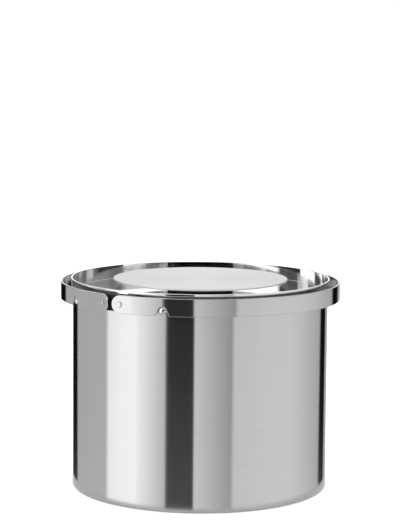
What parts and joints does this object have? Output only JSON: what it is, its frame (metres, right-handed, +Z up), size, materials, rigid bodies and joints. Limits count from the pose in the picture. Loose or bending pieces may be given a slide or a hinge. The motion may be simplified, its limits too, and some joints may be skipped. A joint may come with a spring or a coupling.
{
  "type": "ice bucket",
  "caption": "Double-walled steel ice bucket with a recessed lift-off lid, a disc grip and two half-ring bails that fold down round the rim.",
  "frame": {"origin": "centre of the base, on the surface that the bucket stands on", "axes": "+Z up along the bucket's axis; the bails' pivots are parallel to Y; -Y is the front hinge block, +X the right bail"},
  "size_m": [0.2134, 0.2156, 0.16],
  "materials": {
    "brushed_shell": "fine brushing that runs round the body",
    "polished_steel": "polished steel, near mirror",
    "satin_steel": "satin steel",
    "liner_steel": "plain pressed steel, softly brushed",
    "blackened_steel": "black, half matt",
    "silicone": "dark matt silicone",
    "nylon": "black matt plastic",
    "foam": "rigid cream foam"
  },
  "bodies": {
    "vessel": {"outer_shell": "brushed_shell", "base_plate": "liner_steel", "foot_ring": "silicone", "inner_liner": "liner_steel", "insulation_jacket": "foam", "hinge_block_front": "blackened_steel", "hinge_block_rear": "blackened_steel", "pivot_pin_front_left": "satin_steel", "pivot_pin_front_right": "satin_steel", "pivot_pin_rear_left": "satin_steel", "pivot_pin_rear_right": "satin_steel", "pivot_washer_front_left": "nylon", "pivot_washer_front_right": "nylon", "pivot_washer_rear_left": "nylon", "pivot_washer_rear_right": "nylon", "rest_stud_front_left": "polished_steel", "rest_stud_front_right": "polished_steel", "rest_stud_rear_left": "polished_steel", "rest_stud_rear_right": "polished_steel"},
    "lid": {"lid_pan": "polished_steel", "lid_underplate": "liner_steel", "lid_insulation": "foam", "lid_seal": "silicone", "knob_disc": "satin_steel", "knob_post": "nylon", "knob_washer": "satin_steel", "knob_screw": "satin_steel"},
    "bail_left": {"bail_left": "brushed_shell"},
    "bail_right": {"bail_right": "brushed_shell"}
  },
  "joints": [
    {"name": "bail_left_hinge", "type": "hinge", "parent": "vessel", "child": "bail_left", "pos_m": [-0.0081, 0, 0.1512], "axis": [0, 1, 0], "range_deg": [0, 90]},
    {"name": "bail_right_hinge", "type": "hinge", "parent": "vessel", "child": "bail_right", "pos_m": [0.0081, 0, 0.1512], "axis": [0, -1, 0], "range_deg": [0, 90]},
    {"name": "lid_lift", "type": "slide", "parent": "vessel", "child": "lid", "axis": [0, 0, 1], "range_m": [0, 0.017]}
  ]
}
